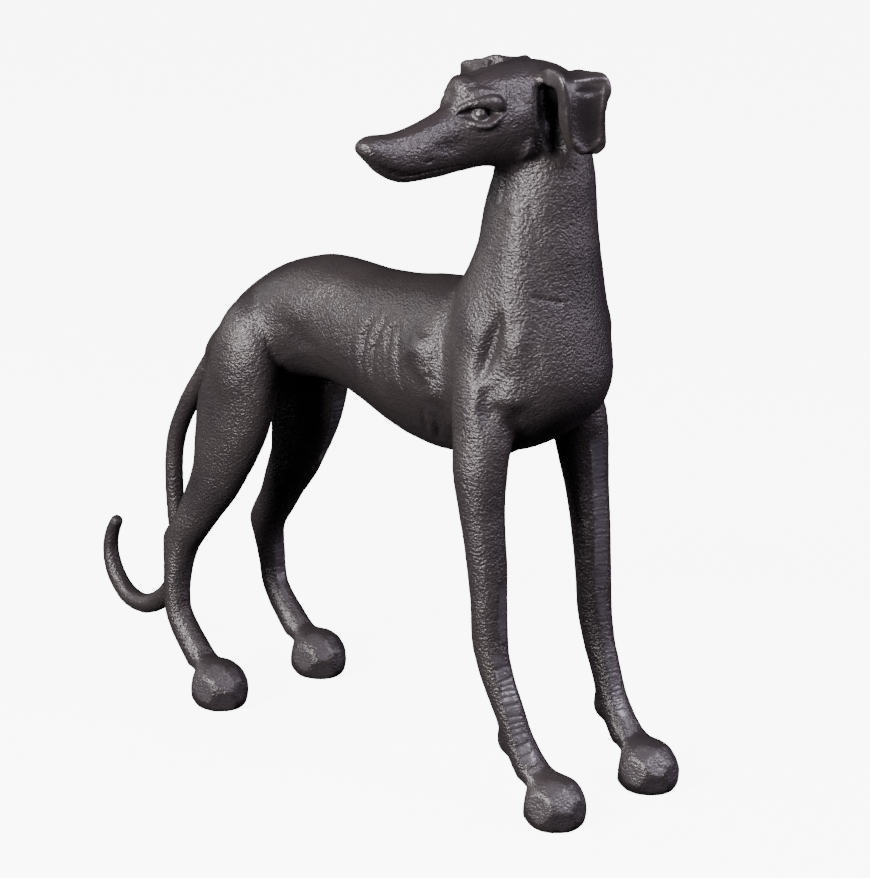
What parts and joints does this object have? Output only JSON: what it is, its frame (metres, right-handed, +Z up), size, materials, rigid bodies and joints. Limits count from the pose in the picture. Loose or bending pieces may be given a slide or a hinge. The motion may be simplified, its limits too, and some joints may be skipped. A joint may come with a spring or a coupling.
{
  "type": "greyhound sculpture",
  "caption": "Standing greyhound figure in dark cast iron, head turned to its right, ears out and hanging, long tail hooked up at the end, flat-soled paws; it stands on a shelf, floor or table.",
  "frame": {"origin": "middle of the figure's box, on the surface that it stands on", "axes": "+X the way the body faces, +Y the dog's left, +Z up"},
  "size_m": [0.3258, 0.1217, 0.2997],
  "materials": {
    "iron": "dark brown-black cast skin, softly burnished on the high forms"
  },
  "bodies": {
    "root": {"greyhound": "iron"}
  },
  "joints": []
}
